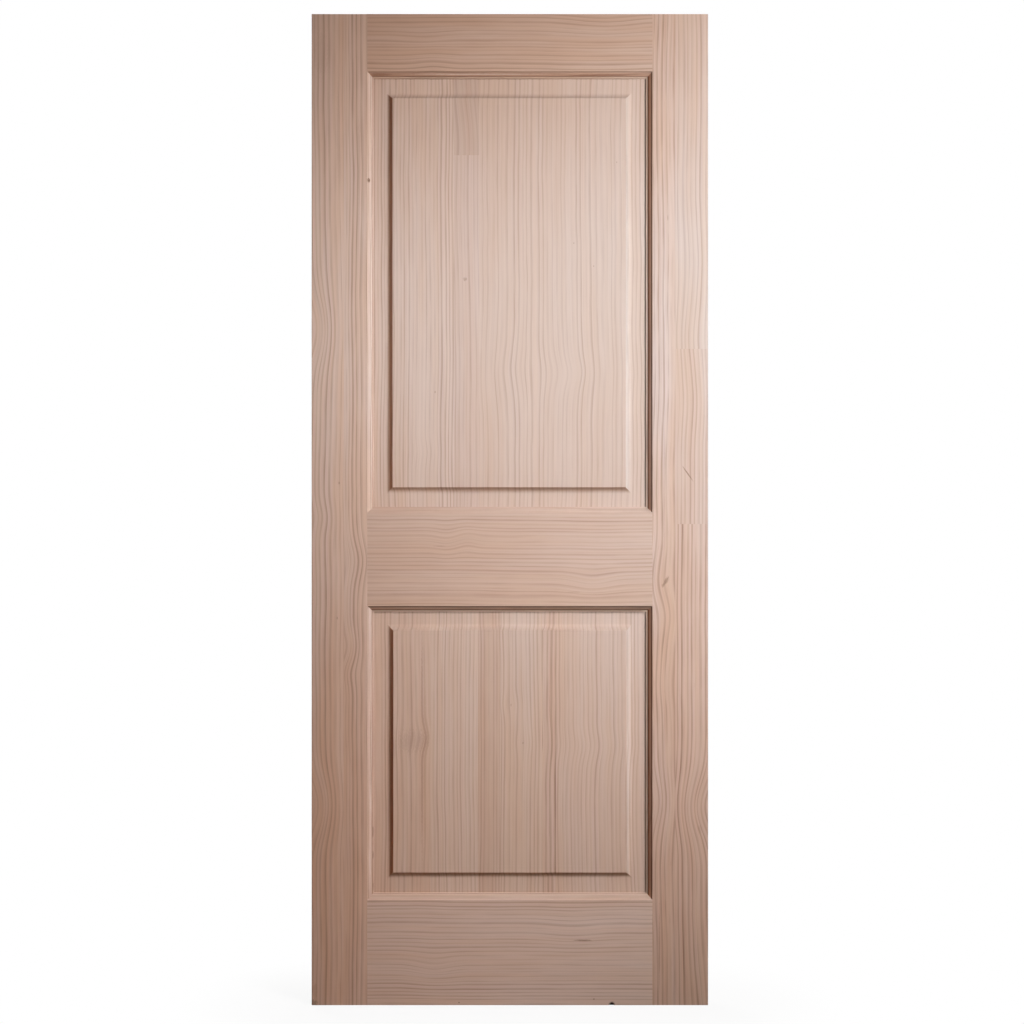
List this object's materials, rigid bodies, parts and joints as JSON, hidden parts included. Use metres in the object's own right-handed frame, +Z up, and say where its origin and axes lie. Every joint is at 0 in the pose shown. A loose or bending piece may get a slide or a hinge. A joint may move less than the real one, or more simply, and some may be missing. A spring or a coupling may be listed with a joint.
{
  "type": "raised panel door leaf",
  "caption": "Bare pine door leaf of stiles and rails with ovolo moulding, an upper and a lower raised panel, and no hardware; hung on hinges along one edge.",
  "frame": {"origin": "foot of the hinge edge, in the middle of the leaf's thickness", "axes": "+X across the leaf from the hinge edge to the lock edge, -Y out of the front face, +Z up"},
  "size_m": [0.813, 0.035, 2.032],
  "materials": {
    "stile_pine": "bare sanded pine, grain upright",
    "rail_pine": "bare sanded pine, grain level",
    "panel_pine": "bare sanded pine, grain upright",
    "dowel_birch": "turned, unfinished"
  },
  "bodies": {
    "root": {"hinge_stile": "stile_pine", "lock_stile": "stile_pine", "top_rail": "rail_pine", "lock_rail": "rail_pine", "bottom_rail": "rail_pine", "upper_panel": "panel_pine", "lower_panel": "panel_pine", "top_rail_dowels": "dowel_birch", "lock_rail_dowels": "dowel_birch", "bottom_rail_dowels": "dowel_birch"}
  },
  "joints": []
}
